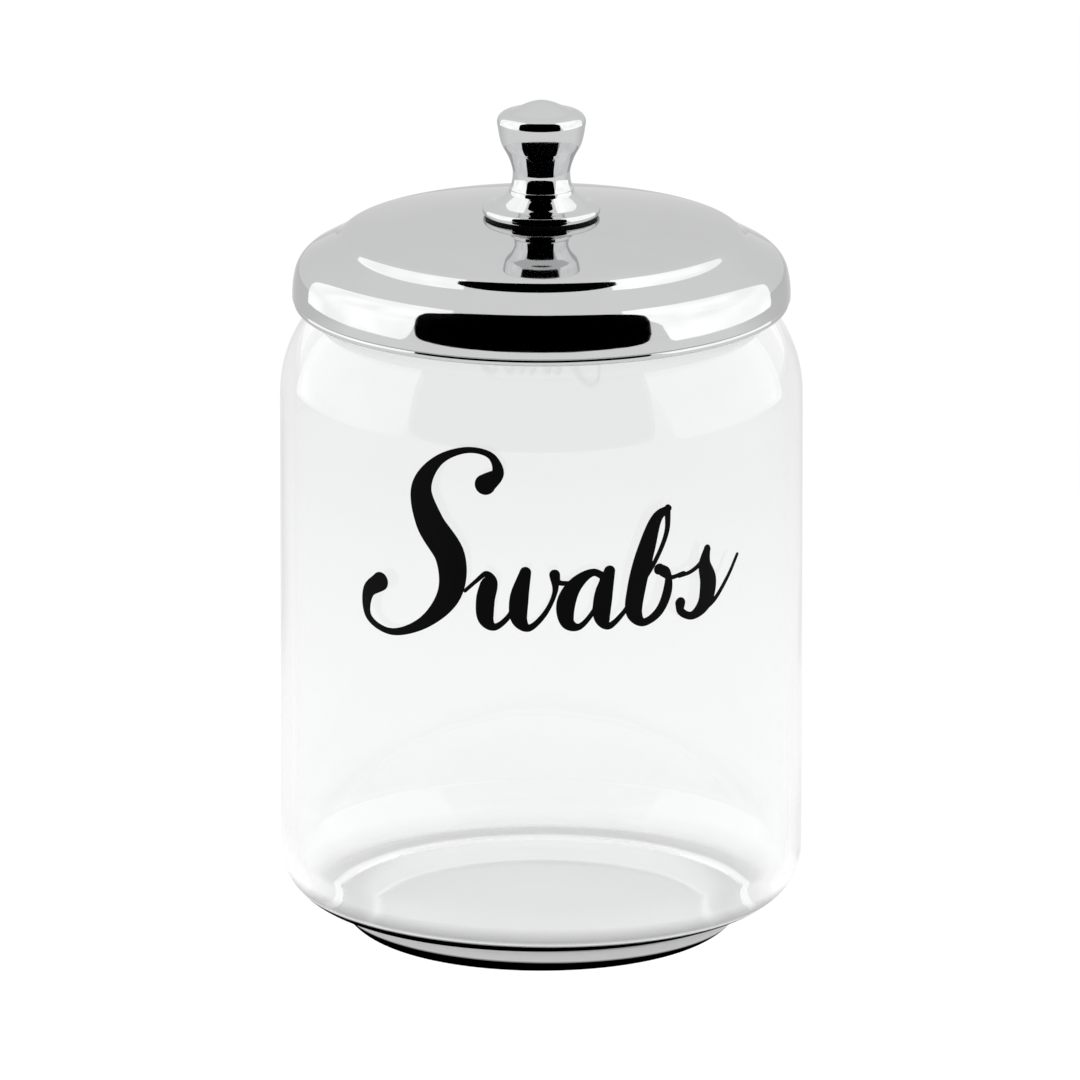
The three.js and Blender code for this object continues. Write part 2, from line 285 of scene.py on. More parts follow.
def combined(nodes, links, **values):
    """A vector of the given X, Y or Z. The others are 0."""
    node = nodes.new("ShaderNodeCombineXYZ")
    for axis, value in values.items():
        links.new(value, node.inputs[axis])
    return node.outputs["Vector"]


def calculated(nodes, links, operation, *values, clamp=False):
    """The result of a calculation. Each value is a number or a node's output."""
    node = nodes.new("ShaderNodeMath")
    node.operation = operation
    node.use_clamp = clamp
    for socket, value in zip(node.inputs, values):
        if isinstance(value, bpy.types.NodeSocket):
            links.new(value, socket)
        else:
            socket.default_value = value
    return node.outputs["Value"]


def vector_calculation(nodes, links, operation, *vectors):
    """The node of a calculation with vectors."""
    node = nodes.new("ShaderNodeVectorMath")
    node.operation = operation
    for socket, vector in zip(node.inputs, vectors):
        links.new(vector, socket)
    return node


def mixed(nodes, links, share, first, second):
    """The first shader, with that share of the second in its place."""
    node = nodes.new("ShaderNodeMixShader")
    links.new(share, node.inputs["Fac"])
    links.new(first, node.inputs[1])
    links.new(second, node.inputs[2])
    return node.outputs["Shader"]


def noise(nodes, links, scale, detail, stretch=(1, 1, 1), vector=None):
    """The value of a noise texture in the piece's own coordinates, in metres."""
    if vector is None:
        vector = nodes.new("ShaderNodeTexCoord").outputs["Object"]
    mapping = nodes.new("ShaderNodeMapping")
    mapping.inputs["Scale"].default_value = stretch
    links.new(vector, mapping.inputs["Vector"])
    texture = nodes.new("ShaderNodeTexNoise")
    texture.inputs["Scale"].default_value = scale
    texture.inputs["Detail"].default_value = detail
    links.new(mapping.outputs["Vector"], texture.inputs["Vector"])
    return texture.outputs["Fac"]


def ranged(nodes, links, value, low, high, start=0.3, end=0.7):
    """The value spread from low to high."""
    node = nodes.new("ShaderNodeMapRange")
    node.inputs["From Min"].default_value = start
    node.inputs["From Max"].default_value = end
    node.inputs["To Min"].default_value = low
    node.inputs["To Max"].default_value = high
    links.new(value, node.inputs["Value"])
    return node.outputs["Result"]


def bump(nodes, links, height, distance):
    """The normal of a surface that rises by that distance, in metres, where the height is 1."""
    node = nodes.new("ShaderNodeBump")
    node.inputs["Strength"].default_value = 1.0
    node.inputs["Distance"].default_value = distance
    links.new(height, node.inputs["Height"])
    return node.outputs["Normal"]


def tinted(nodes, links, value, dark, light, start=0.3, end=0.7):
    """A colour that goes from dark to light with the value."""
    ramp = nodes.new("ShaderNodeValToRGB")
    ramp.color_ramp.elements[0].position = start
    ramp.color_ramp.elements[0].color = (*dark, 1)
    ramp.color_ramp.elements[1].position = end
    ramp.color_ramp.elements[1].color = (*light, 1)
    links.new(value, ramp.inputs["Fac"])
    return ramp.outputs["Color"]


def round_the_axis(nodes, links):
    """Coordinates for marks that run round a turned piece: distance from the axis, a little of the angle,
    height."""
    place = separated(nodes, links, nodes.new("ShaderNodeTexCoord").outputs["Object"])
    flat = combined(nodes, links, X=place["X"], Y=place["Y"])
    distance = vector_calculation(nodes, links, "LENGTH", flat).outputs["Value"]
    direction = vector_calculation(nodes, links, "NORMALIZE", flat).outputs["Vector"]
    turn = vector_calculation(nodes, links, "SCALE", direction)
    turn.inputs["Scale"].default_value = MARK_WANDER
    profile = combined(nodes, links, X=distance, Z=place["Z"])
    return vector_calculation(nodes, links, "ADD", profile, turn.outputs["Vector"]).outputs["Vector"]


def heel_shade(nodes, links, place, below, from_outside):
    """Painted shade: how dark the heel and the corner are painted when they are looked at from outside."""
    shade = nodes.new("ShaderNodeValToRGB")
    for height, _ in HEEL_SHADE[1:-1]:
        shade.color_ramp.elements.new(height / HEEL_SHADE_TOP)
    for stop, (_, dark) in zip(shade.color_ramp.elements, HEEL_SHADE):
        stop.color = (dark, dark, dark, 1)
    height = calculated(nodes, links, "MULTIPLY_ADD", place["X"], SHADE_LEAN, place["Z"])
    links.new(ranged(nodes, links, height, 0, 1, 0, HEEL_SHADE_TOP * MM), shade.inputs["Fac"])
    seen = calculated(nodes, links, "MULTIPLY", below, from_outside)
    return calculated(nodes, links, "MULTIPLY", shade.outputs["Color"], seen)


def painted_glow_share(nodes, links, place, below, path):
    """How much of the glass is a painted grey glow: all caught light, and part of the base seen through the
    jar.
    """
    caught = calculated(nodes, links, "GREATER_THAN", path["Ray Depth"], CAUGHT_AFTER)
    through_jar = calculated(nodes, links, "SUBTRACT", below, path["Is Camera Ray"], clamp=True)
    low, high = BASE_PAINTED_GLOW_FADE
    near_base = ranged(nodes, links, place["Z"], BASE_PAINTED_GLOW, 0, low * MM, high * MM)
    painted_veil = calculated(nodes, links, "MULTIPLY", near_base, through_jar)
    return calculated(nodes, links, "MAXIMUM", caught, painted_veil)


def glass_material():
    """Clear pressed glass: slightly wavy, rougher at its base, with a faint smear here and there.

    The heel and the corner get painted shade, black mixed into their undersides, where they are looked at
    from outside. Light that is caught in the glass comes out as a painted grey glow, and so does part of the
    base when it is seen through the jar.
    """
    material, nodes, links, shader = new_material("clear_glass", IOR=1.5, Transmission_Weight=1.0)
    place = separated(nodes, links, nodes.new("ShaderNodeTexCoord").outputs["Object"])
    normal = separated(nodes, links, nodes.new("ShaderNodeNewGeometry").outputs["Normal"])
    below = ranged(nodes, links, normal["Z"], 1, 0, *FACING_DOWN)
    path = nodes.new("ShaderNodeLightPath").outputs

    smear = ranged(nodes, links, noise(nodes, links, 38, 4, (1, 1, 0.5)), 0.0, 0.03, 0.52, 0.8)
    low, high = BASE_ROUGHNESS_FADE
    base = ranged(nodes, links, place["Z"], BASE_ROUGHNESS, 0, low * MM, high * MM)
    links.new(calculated(nodes, links, "ADD", smear, base), shader.inputs["Roughness"])
    wave = noise(nodes, links, 26, 1.5, (1, 1, 0.45))
    links.new(bump(nodes, links, wave, 0.0004), shader.inputs["Normal"])
    tone = tinted(nodes, links, noise(nodes, links, 60, 2), (0.99, 0.996, 0.994), (0.994, 0.997, 0.996))
    links.new(tone, shader.inputs["Base Color"])

    # Painted shade: black mixed into the heel and the corner, in place of the dark surroundings they would
    # mirror.
    black = nodes.new("ShaderNodeBsdfDiffuse")
    black.inputs["Color"].default_value = (0, 0, 0, 1)
    shade = heel_shade(nodes, links, place, below, path["Is Camera Ray"])
    shaded = mixed(nodes, links, shade, shader.outputs["BSDF"], black.outputs["BSDF"])
    # Painted light: a grey glow in place of light caught in the glass, and over the base seen through the
    # jar.
    painted_glow = nodes.new("ShaderNodeEmission")
    painted_glow.inputs["Strength"].default_value = PAINTED_GLOW_LEVEL
    share = painted_glow_share(nodes, links, place, below, path)
    whole = mixed(nodes, links, share, shaded, painted_glow.outputs["Emission"])
    links.new(whole, nodes["Material Output"].inputs["Surface"])
    return material


def chrome_material():
    """Bright plate over a polished spinning: fine rings from the polishing wheel, haze and cloudiness."""
    material, nodes, links, shader = new_material(
        "bright_chrome", Metallic=1.0, Specular_Tint=(0.8, 0.8, 0.8, 1)
    )
    cloud = tinted(nodes, links, noise(nodes, links, 60, 4), (0.585, 0.588, 0.592), (0.605, 0.608, 0.612))
    links.new(cloud, shader.inputs["Base Color"])
    haze = noise(nodes, links, 90, 5)
    links.new(ranged(nodes, links, haze, 0.025, 0.06), shader.inputs["Roughness"])
    rings = noise(nodes, links, 2400, 2, vector=round_the_axis(nodes, links))
    links.new(bump(nodes, links, rings, 0.0000012), shader.inputs["Normal"])
    return material


def vinyl_material():
    """Black adhesive vinyl with a very fine orange-peel surface."""
    material, nodes, links, shader = new_material("black_vinyl", Specular_IOR_Level=0.06)
    mottle = noise(nodes, links, 300, 3)
    tone = tinted(nodes, links, mottle, (0.0004, 0.0004, 0.0004), (0.0012, 0.0012, 0.0012))
    links.new(tone, shader.inputs["Base Color"])
    links.new(ranged(nodes, links, mottle, 0.42, 0.58), shader.inputs["Roughness"])
    peel = noise(nodes, links, 2500, 2)
    links.new(bump(nodes, links, peel, 0.00001), shader.inputs["Normal"])
    return material


def moulded_material(name, dark, light, roughness, **values):
    """A moulded polymer: soft mottling and a fine spark-eroded texture."""
    material, nodes, links, shader = new_material(name, **values)
    mottle = noise(nodes, links, 80, 4)
    links.new(tinted(nodes, links, mottle, dark, light), shader.inputs["Base Color"])
    links.new(ranged(nodes, links, mottle, roughness - 0.06, roughness + 0.06), shader.inputs["Roughness"])
    texture = noise(nodes, links, 3000, 2)
    links.new(bump(nodes, links, texture, 0.00002), shader.inputs["Normal"])
    return material


def steel_material():
    """Zinc-plated steel with turning marks."""
    material, nodes, links, shader = new_material("zinc_steel", Metallic=1.0)
    cloud = noise(nodes, links, 400, 4)
    links.new(tinted(nodes, links, cloud, (0.42, 0.42, 0.43), (0.58, 0.58, 0.6)), shader.inputs["Base Color"])
    links.new(ranged(nodes, links, cloud, 0.22, 0.4), shader.inputs["Roughness"])
    marks = noise(nodes, links, 3500, 2, vector=round_the_axis(nodes, links))
    links.new(bump(nodes, links, marks, 0.000015), shader.inputs["Normal"])
    return material


# ---------------------------------------------------------------- pieces

def glass_jar(material):
    """The glass: recessed base on a flat ring, heel, wide corner, straight wall, shoulder, rounded rim."""
    shoulder_centre = JAR_RADIUS - SHOULDER_RADIUS
    corner_centre = JAR_RADIUS - CORNER_RADIUS
    inside = JAR_RADIUS - WALL
    inner_shoulder = SHOULDER_RADIUS - WALL
    mouth = NECK_OUTER - WALL
    neck_angle = math.degrees(math.acos((NECK_OUTER - shoulder_centre) / SHOULDER_RADIUS))
    mouth_angle = math.degrees(math.acos((mouth - shoulder_centre) / inner_shoulder))
    inner_corner = inside - FLOOR_RADIUS
    lip = WALL / 2
    mark = smooth_outline([(7.6, 2.3), (8.4, 2.27), (9, 2.12), (9.6, 2.27), (10.4, 2.3)])
    recess = smooth_outline([(22, 2.2), (26.5, 1.9), (30, 1.3), (32.4, 0.55), (33.8, 0.1), (34.4, 0)])
    heel = smooth_outline([
        (35.6, 0), (36.5, 0.14), (37.7, 0.6), (39.2, 1.55), (40.6, 2.95), (41.6, 4.5), (42.1, 5.7),
    ])
    outline = [
        (0, 2.3),
        *mark,
        *recess,
        *heel,
        (42.5, 6.4),
        (43.2, 6.68),
        *arc(corner_centre, CORNER_HEIGHT, CORNER_RADIUS, -85, 0),
        *arc(shoulder_centre, SHOULDER_HEIGHT, SHOULDER_RADIUS, 0, neck_angle),
        *arc(NECK_OUTER - lip, RIM_HEIGHT - lip, lip, 0, 180),
        *arc(shoulder_centre, SHOULDER_HEIGHT, inner_shoulder, mouth_angle, 0),
        *arc(FLOOR_RADIUS, FLOOR_TOP + inner_corner, inner_corner, 0, -90),
        (0, FLOOR_TOP),
    ]
    return finished("jar_glass", turned("jar_glass", outline, AROUND), material, "jar", "glass_jar")


def lid_shell(material):
    """Pressed sheet: rolled hem, tall rounded rim, soft step up to a domed disc, flat seat for the knob."""
    hem = arc(50.15, 133.75, 0.95, 140, 410)
    wall = arc(LID_RADIUS - RIM_CURVE, RIM_Z, RIM_CURVE, -2.2, 14.5)
    rim = arc(45.45, 138.53, RIM_ROUND, 14.5, 61)
    groove = arc(46.755, 152.014, GROOVE_ROUND, 241, 226)
    step = arc(39.47, 145.52, STEP_ROUND, 46, 78.9)
    dome = [(r, DISC_CENTRE - DISC_FALL * r * r) for r in range(38, 13, -3)]
    outer = [*wall, *rim[1:], *groove, *step, *dome, (SEAT_RADIUS, SEAT_Z), (SCREW_HOLE, SEAT_Z)]
    inner = offset(outer, SHEET)[1:]
    outline = [*hem, *outer, *reversed(inner)]
    mesh = turned("lid_cover", outline, AROUND, closed=True)
    return finished("lid_cover", mesh, material, "lid", "lid_shell")


def knob(material):
    """Turned knob: flange, flare, narrow waist, spreading crown with a raised button on top."""
    radius = SCREW_RADIUS + THREAD_GAP
    hole = [(0, KNOB_BASE + 8.6), (radius, KNOB_BASE + 7.8), (radius, KNOB_BASE)]
    flange = [(11.7, KNOB_BASE), *arc(11.15, 152.95, 1, -36, 74), (10.5, 154.14), (9.8, 154.31)]
    cone = [(9.55, 154.45), (8.7, 155.16), (7.8, 155.91), (6.95, 156.62), (6.76, 156.76)]
    collar = [(6.72, 156.82), (6.704, 157.7)]
    waist = smooth_outline([
        (6.5, 157.92), (6.3, 158.3), (6.1, 159), (5.97, 160), (5.95, 161.2), (6.1, 162.1), (6.42, 163.2),
        (6.84, 164.3), (7.4, 165.4), (7.98, 166.4), (8.4, 167.4), (8.68, 168.5), (8.89, 169.6), (9.06, 170.7),
    ])
    crown = arc(7.2, 171.6, 2, 0, 64)
    top = smooth_outline([
        (7.7, 173.55), (7.2, 173.68), (6.7, 173.75), (6.1, 173.9), (5.3, 174.33), (4.1, 174.93),
        (2.8, 175.5), (1.5, 175.92), (0.5, 176.12),
    ])
    outline = [*hole, *flange, *cone, *collar, *waist, *crown, *top, (0, 176.15)]
    return finished("lid_knob", turned("lid_knob", outline, AROUND_SMALL), material, "lid", "knob")


def washer(hole, radius, low, high):
    """Outline of a flat ring with rounded outer edges."""
    centre = radius - WASHER_EDGE
    return [
        (hole, low),
        *arc(centre, low + WASHER_EDGE, WASHER_EDGE, -90, 0),
        *arc(centre, high - WASHER_EDGE, WASHER_EDGE, 0, 90),
        (hole, high),
    ]


def knob_washer(material):
    """Black ring under the knob."""
    mesh = turned("knob_gasket", washer(2.6, 11.6, SEAT_Z, KNOB_BASE), AROUND_SMALL, closed=True)
    return finished("knob_gasket", mesh, material, "lid", "knob_washer")


def lid_liner(material):
    """Moulded disc with a plug that centres the lid, a lead-in lip, and two low rings on its underside."""
    inner = PLUG_OUTER - PLUG_WALL
    outline = [(0, LINER_BOTTOM)]
    for radius in (12, 26):
        ring = arc(radius, LINER_BOTTOM, 0.5, 180, 360)
        outline += [(radius - 0.9, LINER_BOTTOM), *ring, (radius + 0.9, LINER_BOTTOM)]
    outline += [
        *arc(inner - 0.8, LINER_BOTTOM - 0.8, 0.8, 90, 0),
        *arc(inner + 0.4, PLUG_Z + 0.4, 0.4, 180, 270),
        *arc(PLUG_OUTER + 0.4, PLUG_Z + 0.6, 0.6, -90, 20),
        (PLUG_OUTER, PLUG_Z + 1.9),
        (PLUG_OUTER, LINER_BOTTOM),
        *arc(LINER_RADIUS - 0.3, LINER_BOTTOM + 0.3, 0.3, -90, 0),
        *arc(LINER_RADIUS - 0.8, LINER_TOP - 0.8, 0.8, 0, 90),
        (0, LINER_TOP),
    ]
    mesh = turned("lid_liner_disc", outline, AROUND)
    return finished("lid_liner_disc", mesh, material, "lid", "lid_liner")


def seal_ring(material):
    """Soft ring: a flange on the glass rim and a sleeve with two fins in the mouth."""
    inner = PLUG_OUTER + SEAL_GAP
    sleeve = inner + SEAL_WALL
    fin = NECK_OUTER - WALL - SEAL_GAP
    flange = 44.4
    rest = RIM_HEIGHT + 0.05
    top = LINER_BOTTOM - 0.15
    start = PLUG_Z + 2.2
    outline = [(inner, start), (sleeve, start)]
    for height in (136, 138):
        outline += [(sleeve, height - 0.6), *arc(fin - 0.25, height, 0.25, -60, 60), (sleeve, height + 0.6)]
    outline += [
        (sleeve, rest),
        *arc(flange - 0.4, rest + 0.4, 0.4, -90, 0),
        *arc(flange - 0.4, top - 0.4, 0.4, 0, 90),
        (inner, top),
    ]
    mesh = turned("neck_seal", outline, AROUND, closed=True)
    return finished("neck_seal", mesh, material, "seal", "seal_ring")


def flat_washer(material):
    """Plain washer against the inside of the lid."""
    low = SEAT_Z - SHEET - FLAT_WASHER
    outline = washer(WASHER_HOLE, 4.9, low, low + FLAT_WASHER)
    mesh = turned("screw_flat_washer", outline, AROUND_SMALL, closed=True)
    return finished("screw_flat_washer", mesh, material, "lid", "flat_washer")


def lock_washer(material):
    """A square-section ring, split at one side."""
    low = (SEAT_Z - SHEET - FLAT_WASHER - LOCK_WASHER) * MM
    high = low + LOCK_WASHER * MM
    outside = 3.9
    gap = math.radians(7)
    steps = 90
    build = bmesh.new()
    sections = []
    for i in range(steps + 1):
        angle = gap + (2 * math.pi - 2 * gap) * i / steps
        section = []
        for radius, z in ((WASHER_HOLE, low), (outside, low), (outside, high), (WASHER_HOLE, high)):
            section.append(build.verts.new((radius * MM * math.cos(angle), radius * MM * math.sin(angle), z)))
        sections.append(section)
    for here, there in zip(sections, sections[1:]):
        for i in range(4):
            j = (i + 1) % 4
            build.faces.new((here[i], there[i], there[j], here[j]))
    build.faces.new(sections[0])
    build.faces.new(sections[-1][::-1])
    bmesh.ops.recalc_face_normals(build, faces=build.faces)
    mesh = mesh_of(build, "screw_lock_washer")
    return finished("screw_lock_washer", mesh, material, "lid", "lock_washer")


def knob_screw(material):
    """Pan-head machine screw with a cross recess and thread ridges."""
    head = SEAT_Z - SHEET - FLAT_WASHER - LOCK_WASHER
    bottom = head - HEAD_HEIGHT
    tip = KNOB_BASE + SCREW_REACH
    root = SCREW_RADIUS - THREAD_DEPTH
    pan = smooth_outline([(1.2, bottom), (2.4, bottom + 0.2), (3.4, bottom + 0.9), (3.8, head - 0.4)])
    outline = [(0, bottom), *pan, (3.75, head), (SCREW_RADIUS, head)]
    height = head + 0.4
    while height < tip - 1:
        outline += [(SCREW_RADIUS, height), (root, height + THREAD_PITCH / 2)]
        height += THREAD_PITCH
    outline += [(root, tip - 0.5), (SCREW_RADIUS - 0.7, tip), (0, tip)]
    mesh = turned("knob_fixing_screw", outline, AROUND_SMALL)
    screw = finished("knob_fixing_screw", mesh, material, "lid", "knob_screw")
    cut_cross(screw, bottom)
    return screw


def cut_cross(screw, bottom):
    """Cuts a tapered cross recess into the head, with the cutter removed again."""
    build = bmesh.new()
    arm, width, depth = 2.2 * MM, 0.42 * MM, 1.5 * MM
    taper = 0.6
    low = (bottom - 0.5) * MM
    high = bottom * MM + depth
    plus = [(arm, -width), (arm, width), (width, width), (width, arm), (-width, arm), (-width, width),
            (-arm, width), (-arm, -width), (-width, -width), (-width, -arm), (width, -arm), (width, -width)]
    lower = [build.verts.new((x, y, low)) for x, y in plus]
    upper = [build.verts.new((x * taper, y * taper, high)) for x, y in plus]
    build.faces.new(lower)
    build.faces.new(upper)
    for i in range(len(plus)):
        j = (i + 1) % len(plus)
        build.faces.new((lower[i], lower[j], upper[j], upper[i]))
    bmesh.ops.recalc_face_normals(build, faces=build.faces)
    cutter = placed("cross", mesh_of(build, "cross"))
    cut = screw.modifiers.new("cross", "BOOLEAN")
    cut.operation = "DIFFERENCE"
    cut.solver = "EXACT"
    cut.object = cutter
    bpy.context.view_layer.update()
    result = bpy.data.meshes.new_from_object(screw.evaluated_get(bpy.context.evaluated_depsgraph_get()))
    screw.modifiers.remove(cut)
    screw.data = result
    bpy.data.objects.remove(cutter)


# Centre lines of the brush strokes, one list for each letter: [across, height above the baseline, width].
CAPITAL_S = [
    [
        (23.5, 30.5, 4.4), (25.6, 33.2, 2.6), (23.5, 36.6, 1.5), (18.6, 37.6, 1.3), (12.6, 34.8, 2.2),
        (10, 28.6, 4.6), (13.2, 21.6, 6.4), (19.2, 14.6, 6.6), (20.6, 7, 5.2), (16.2, 0, 2.6),
        (8.6, -3, 1.4), (2.6, -0.6, 1.6), (1.6, 4.6, 3), (4.2, 7.2, 4),
    ],
]
LETTER_W = [
    [
        (-5, 9.6, 1), (-2.6, 12.4, 1.1), (-0.6, 14.4, 1.6), (0.8, 12.6, 4.2), (0.8, 7.5, 4.9),
        (2, 2.4, 4.2), (4.6, 0.5, 2), (7.4, 3, 1.4), (9.2, 9, 1.3), (9.8, 14.6, 1.6),
    ],
    [
        (9.6, 15.2, 3), (9.4, 8, 4.9), (10.6, 2.6, 4.2), (13.4, 0.5, 2), (16.6, 4, 1.4),
        (18.2, 10, 1.4), (17.2, 14.6, 2.8),
    ],
    [(17.4, 14.6, 2.4), (18.6, 12.6, 1.5), (22, 12.2, 1.2)],
]
LETTER_A = [
    [
        (9.8, 13.4, 2), (6.4, 14.9, 2), (2.4, 12, 3.8), (0.9, 6.8, 4.9), (2.4, 1.8, 3.6),
        (5.4, 0.6, 1.8), (8.4, 4.4, 1.3), (9.9, 10, 1.3),
    ],
    [(10.6, 15, 3), (10.3, 8, 4.9), (11.2, 2.6, 4.2), (13.4, 0.5, 2), (16.4, 3.4, 1.3), (18.6, 8, 1.1)],
]
LETTER_B = [
    [(1.4, 8, 1.1), (5.6, 16, 1.2), (7.6, 24, 1.4), (6.6, 30.2, 1.8)],
    [
        (6.9, 30, 1.8), (4.2, 28.2, 3), (2.6, 20, 4.9), (1.9, 10, 5.1), (2.6, 3.4, 4.4),
        (5.6, 0.6, 2.2), (9.4, 2.8, 2.4), (11, 8.4, 2.6), (9.8, 13.4, 1.8), (7.4, 14.2, 3),
    ],
    [(8.6, 13.2, 2.2), (11, 11.6, 1.3), (15, 12.2, 1.1)],
]
LETTER_S = [
    [(-1, 11.6, 1.1), (2.4, 12.2, 1.1), (5.4, 14.2, 1.4), (6.8, 17.2, 2)],
    [
        (6.6, 17.6, 2), (6.6, 13.6, 3.8), (8.8, 8.6, 5.3), (8.6, 3.2, 4.4), (5, 0.5, 2.2),
        (1.4, 2.2, 2.2), (0.8, 4.4, 3),
    ],
    [(6.6, 1.2, 1.8), (11.2, 3, 1.3), (15.4, 8.6, 1.1), (18, 14, 1)],
]
WORD = [
    (CAPITAL_S, -41.2, 1),
    (LETTER_W, -13.4, LOWER_CASE),
    (LETTER_A, 3.2, LOWER_CASE),
    (LETTER_B, 16.8, LOWER_CASE),
    (LETTER_S, 28.6, LOWER_CASE),
]


def centre_lines():
    """The strokes of the whole word, as [across, height, width] points in millimetres."""
    lines = []
    for letter, start, scale in WORD:
        for points in letter:
            controls = []
            for x, height, width in points:
                across = (x + height * SLANT) * scale + start
                controls.append(Vector((across, height * scale + BASELINE, width * scale)))
            lines.append(smooth_curve(controls, STROKE_STEPS))
    return lines


def in_strokes(places, lines):
    """Which of the places lie in a stroke."""
    inside = np.zeros(len(places), bool)
    for line in lines:
        for a, b in zip(line, line[1:]):
            step = np.array((b.x - a.x, b.y - a.y))
            away = places - (a.x, a.y)
            share = np.clip(away @ step / (step @ step), 0, 1)
            width = a.z + (b.z - a.z) * share
            inside |= np.linalg.norm(away - share[:, None] * step, axis=1) < width * HALF_STROKE
    return inside


def stroke_shapes(line):
    """One brush stroke as overlapping convex shapes: four corners for each step, and two round ends."""
    sides = []
    for i, here in enumerate(line):
        along = line[min(i + 1, len(line) - 1)] - line[max(i - 1, 0)]
        across = Vector((-along.y, along.x)).normalized() * here.z / 2
        centre = Vector((here.x, here.y))
        sides.append((centre + across, centre - across))
    shapes = [[a[1], b[1], b[0], a[0]] for a, b in zip(sides, sides[1:])]
    for end in (line[0], line[-1]):
        radius = end.z / 2
        turn = [2 * math.pi * i / ROUND_END for i in range(ROUND_END)]
        shapes.append([Vector((end.x + radius * math.cos(t), end.y + radius * math.sin(t))) for t in turn])
    return shapes


def word_triangles():
    """The flat word: points, and the triangles between them that lie in a stroke."""
    lines = centre_lines()
    shapes = [shape for line in lines for shape in stroke_shapes(line)]
    corners = [corner for shape in shapes for corner in shape]
    faces = []
    used = 0
    for shape in shapes:
        faces.append(list(range(used, used + len(shape))))
        used += len(shape)
    corners += [Vector((i * GRID, j * GRID)) for i in GRID_ACROSS for j in GRID_UP]
    inside_shapes = 1
    points, _, found, *_ = delaunay_2d_cdt(corners, [], faces, inside_shapes, SAME_POINT)
    middles = np.array([sum((points[i] for i in triangle), Vector((0, 0))) / 3 for triangle in found])
    return points, [triangle for triangle, inside in zip(found, in_strokes(middles, lines)) if inside]


def lettering(material):
    """The word cut from thin vinyl and wrapped round the front of the glass."""
    points, triangles = word_triangles()
    build = bmesh.new()
    layers = []
    for radius in (VINYL_INSIDE, VINYL_OUTSIDE):
        layer = []
        for u, v in points:
            angle = u / JAR_RADIUS
            x = radius * MM * math.sin(angle)
            y = -radius * MM * math.cos(angle)
            layer.append(build.verts.new((x, y, v * MM)))
        layers.append(layer)
    inside, outside = layers
    edges = set()
    for triangle in triangles:
        build.faces.new([outside[i] for i in triangle])
        build.faces.new([inside[i] for i in reversed(triangle)])
        edges.update(zip(triangle, [*triangle[1:], triangle[0]]))
    for a, b in sorted(edges):
        if (b, a) not in edges:
            build.faces.new((outside[b], outside[a], inside[a], inside[b]))
    loose = [v for v in build.verts if not v.link_faces]
    bmesh.ops.delete(build, geom=loose, context="VERTS")
    bmesh.ops.recalc_face_normals(build, faces=build.faces)
    mesh = mesh_of(build, "jar_lettering")
    piece = finished("jar_lettering", mesh, material, "jar", "decal")
    outward = [Vector((v.co.x, v.co.y, 0)).normalized() for v in mesh.vertices]
    mesh.normals_split_custom_set_from_vertices(outward)
    return piece


# ---------------------------------------------------------------- studio

def plain_light(name, colour, strength):
    """A material that only glows."""
    material = bpy.data.materials.new(name)
    material.use_nodes = True
    nodes = material.node_tree.nodes
    nodes.clear()
    glow = nodes.new("ShaderNodeEmission")
    glow.inputs["Color"].default_value = (*colour, 1)
    glow.inputs["Strength"].default_value = strength
    output = nodes.new("ShaderNodeOutputMaterial")
    material.node_tree.links.new(glow.outputs["Emission"], output.inputs["Surface"])
    return material


def reflected_only(material):
    """Makes a glowing material see-through to light that wasn't mirrored, and fainter through glass."""
    nodes = material.node_tree.nodes
    links = material.node_tree.links
    path = nodes.new("ShaderNodeLightPath").outputs
    mirrored = calculated(nodes, links, "GREATER_THAN", path["Ray Depth"], path["Transmission Depth"])
    in_glass = calculated(nodes, links, "MINIMUM", path["Transmission Depth"], 1)
    weight = calculated(nodes, links, "MULTIPLY_ADD", in_glass, -CARD_LOSS, 1)
    share = calculated(nodes, links, "MULTIPLY", mirrored, weight)
    clear = nodes.new("ShaderNodeBsdfTransparent")
    surface = mixed(nodes, links, share, clear.outputs["BSDF"], nodes["Emission"].outputs["Emission"])
    links.new(surface, nodes["Material Output"].inputs["Surface"])
    return material


def softbox_material():
    """Slightly uneven softbox cloth."""
    material = plain_light("softbox_cloth", (1, 1, 1), SOFTBOX_STRENGTH)
    nodes = material.node_tree.nodes
    links = material.node_tree.links
    tone = tinted(nodes, links, noise(nodes, links, 3, 1), (0.86, 0.86, 0.86), (1, 1, 1))
    links.new(tone, nodes["Emission"].inputs["Color"])
    return reflected_only(material)


def mirrored_direction(turn, tilt):
    """Where the camera's view goes off a mirror whose normal points that far round and up, in degrees."""
    view = Vector((0, -math.cos(ELEVATION), math.sin(ELEVATION)))
    round_, up = math.radians(turn), math.radians(tilt)
    normal = Vector((math.sin(round_) * math.cos(up), -math.cos(round_) * math.cos(up), math.sin(up)))
    return 2 * normal.dot(view) * normal - view


def card(name, material, distance, outline):
    """A curved studio card. Its outline is given by the mirror normals that show it to the camera: from left
    to right, [turn, lowest tilt, highest tilt] in degrees."""
    build = bmesh.new()
    grid = []
    for turn, lowest, highest in smooth_curve([Vector(edge) for edge in outline], CARD_STEPS):
        start = Matrix.Rotation(math.radians(turn), 3, "Z") @ RIM_FOR_CARDS
        tilts = [lowest + (highest - lowest) * j / CARD_ROWS for j in range(CARD_ROWS + 1)]
        grid.append([build.verts.new(start + mirrored_direction(turn, tilt) * distance) for tilt in tilts])
    for left, right in zip(grid, grid[1:]):
        for j in range(CARD_ROWS):
            build.faces.new((left[j], right[j], right[j + 1], left[j + 1]))
    mesh = mesh_of(build, name)
    mesh.materials.append(material)
    piece = placed(name, mesh)
    piece.visible_camera = False
    piece.visible_diffuse = False
    piece.visible_shadow = False
    return piece


